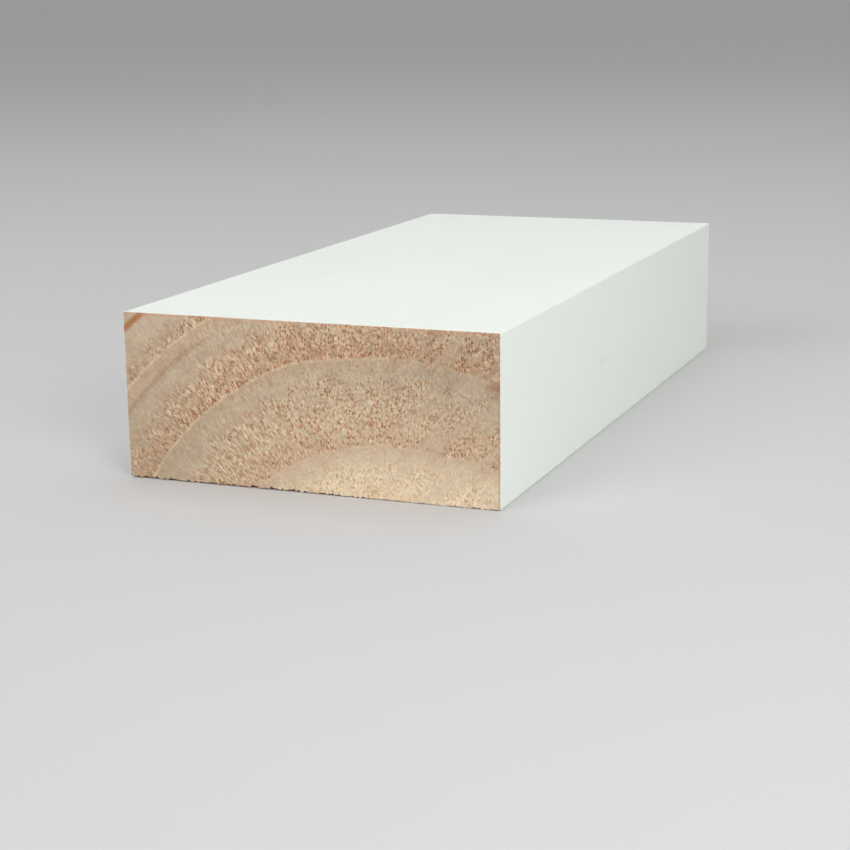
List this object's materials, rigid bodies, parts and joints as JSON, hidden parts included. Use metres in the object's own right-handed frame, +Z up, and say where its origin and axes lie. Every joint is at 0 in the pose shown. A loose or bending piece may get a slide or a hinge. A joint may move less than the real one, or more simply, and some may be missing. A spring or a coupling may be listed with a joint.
{
  "type": "trim board",
  "caption": "Straight rectangular softwood trim board with eased long edges, primed white on its long faces and bare sawn end grain at both ends, nailed up as casing or fascia.",
  "frame": {"origin": "centre of the wide back face, which lies on the floor", "axes": "+Y along the grain from the near sawn end to the far one, +X across the wide face, +Z up from the back face to the front face"},
  "size_m": [0.0888, 0.1906, 0.0381],
  "materials": {
    "primed_pine": "flat white primer on the four long faces, bare sawn end grain on both ends"
  },
  "bodies": {
    "root": {"trim_board": "primed_pine"}
  },
  "joints": []
}
